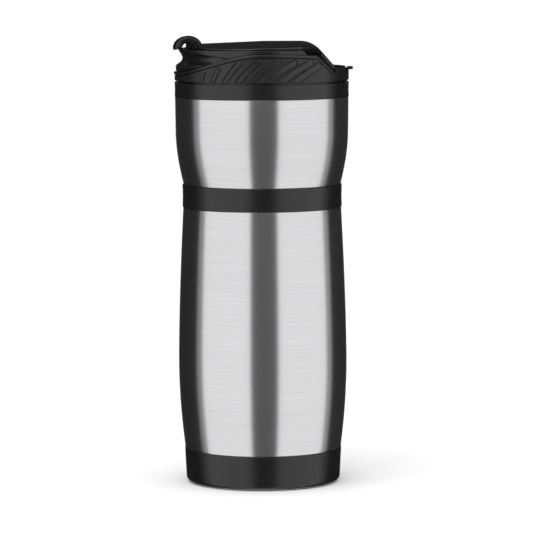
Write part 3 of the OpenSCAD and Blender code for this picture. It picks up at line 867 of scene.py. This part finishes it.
# the thumb hook: a band that rises from the plate, curls over the rim and follows it round
rings = []
for ang in [-4 + 194 * k / 40 for k in range(41)]:
    c = math.radians(ang)
    bow = max(0.0, min(1.0, (ang - 60) / 110))
    outer = (hook_x + hook_a * math.cos(c), hook_z + hook_b * math.sin(c))
    ci = math.radians(min(ang, 184))
    inner = (hook_x + (hook_a - hook_t) * math.cos(ci), hook_z + (hook_b - hook_t + 0.3) * math.sin(ci))
    if ang > 176:
        inner = (inner[0] - (ang - 176) / 14 * 0.5, inner[1])
    half = hook_half - 1.2 * (1 - math.cos(math.radians(max(0, ang - 120) * 1.2)))
    ring_ = section(outer, inner, half, 0.65, 0.5, 10)
    rings.append([(px + bow * (hook_r - math.sqrt(hook_r ** 2 - py ** 2)), py, pz) for px, py, pz in ring_])
loft(rings, lv, lf)

# the web inside the hook
web = []
wx0, wx1 = -plate_r - 0.1, hook_x + hook_a - hook_t / 2
for y, e in ((-web_half, 0.25), (0.25 - web_half, 0.0), (web_half - 0.25, 0.0), (web_half, 0.25)):
    wide, tall = hook_a - hook_t / 2 - e, hook_b - hook_t / 2 - e
    pts = [(wx0 + e, lever_under + e), (wx1 - e, lever_under + e)]
    for k in range(9):
        c = math.pi / 2 * k / 8
        pts.append((hook_x + wide * math.cos(c), hook_z + tall * math.sin(c)))
    pts += [(wx0 + e, hook_z + tall)]
    web.append([(px, y, pz) for px, pz in pts])
loft(web, lv, lf)
piece("flip_lever_moulding", lv, lf, "lever", LEVER, 40, ["flip_lever"])

# ---------------------------------------------------------------- stage, lights and camera


def floor():
    m, t, b = material("floor")
    v = coords(t)
    n = noise(t, v, 3.0, 3.0, 0.5)
    t.links.new(ramp(t, n, [(0.3, (0.90, 0.90, 0.90)), (0.7, (0.93, 0.93, 0.93))]), b.inputs["Base Color"])
    b.inputs["Roughness"].default_value = 0.9
    b.inputs["Specular IOR Level"].default_value = 0.0
    mesh = bpy.data.meshes.new("floor")
    n_side = 96
    verts = [(60 * math.cos(2 * math.pi * k / n_side), 60 * math.sin(2 * math.pi * k / n_side), 0)
             for k in range(n_side)]
    mesh.from_pydata(verts, [], [list(range(n_side))])
    mesh.materials.append(m)
    o = bpy.data.objects.new("floor", mesh)
    bpy.context.scene.collection.objects.link(o)
    o.visible_glossy = False


floor()

world = bpy.data.worlds.new("studio")
bpy.context.scene.world = world
world.use_nodes = True
bg = world.node_tree.nodes["Background"]
bg.inputs[0].default_value = (1, 1, 1, 1)
bg.inputs[1].default_value = 1.12


def around_card(name, a0, a1, radius, height, z, shade):
    """A card that shows in reflections only, bent round the object between two angles in degrees: 0 is
    towards the front of the scene, 90 to its right."""
    m, t, b = material(name)
    b.inputs["Base Color"].default_value = (shade, shade, shade, 1)
    b.inputs["Roughness"].default_value = 1.0
    b.inputs["Specular IOR Level"].default_value = 0.0
    steps = max(2, int(abs(a1 - a0) / 3))
    verts, faces = [], []
    for k in range(steps + 1):
        a = math.radians(a0 + (a1 - a0) * k / steps)
        x, y = radius * math.sin(a), -radius * math.cos(a)
        verts += [(x, y, z), (x, y, z + height)]
    for k in range(steps):
        faces.append((2 * k, 2 * k + 2, 2 * k + 3, 2 * k + 1))
    mesh = bpy.data.meshes.new(name)
    mesh.from_pydata(verts, [], faces)
    mesh.materials.append(m)
    o = bpy.data.objects.new(name, mesh)
    bpy.context.scene.collection.objects.link(o)
    o.visible_camera = False
    o.visible_shadow = False
    o.visible_diffuse = False


CARD_R = 1.2
for card_name, a0, a1, shade in (("dark_front", -16, 21, 0.11), ("grey_left", -101, -90, 0.3),
                                 ("grey_right", 97, 108, 0.35), ("dark_left", -168, -101, 0.025),
                                 ("dark_right", 108, 168, 0.03)):
    around_card(card_name, a0, a1, CARD_R, 7.5, -4.5, shade)
# behind the mug a dark card stands only above the lid, for the lid's top seen at a low angle
around_card("dark_back", 168, 192, CARD_R, 2.8, 0.17, 0.03)

key = bpy.data.lights.new("softbox_top", "AREA")
key.shape = "RECTANGLE"
key.size, key.size_y = 1.4, 1.0
key.energy = 9.0
ko = bpy.data.objects.new("softbox_top", key)
bpy.context.scene.collection.objects.link(ko)
ko.location = (-0.5, -0.9, 1.9)
ko.rotation_mode = "QUATERNION"
ko.rotation_quaternion = (Vector((0, 0, 0.1)) - ko.location).to_track_quat("-Z", "Y")

cam = bpy.data.cameras.new("camera")
cam.sensor_width = 36
cam.lens = 245.7
co = bpy.data.objects.new("camera", cam)
bpy.context.scene.collection.objects.link(co)
co.location = (0.0025, -1.67, 0.262)
pitch = math.radians(5.565)
roll = math.radians(0.22)
co.rotation_mode = "XYZ"
co.rotation_euler = (math.radians(90) - pitch, roll, 0)
bpy.context.scene.camera = co
bpy.context.scene.view_settings.view_transform = "Standard"
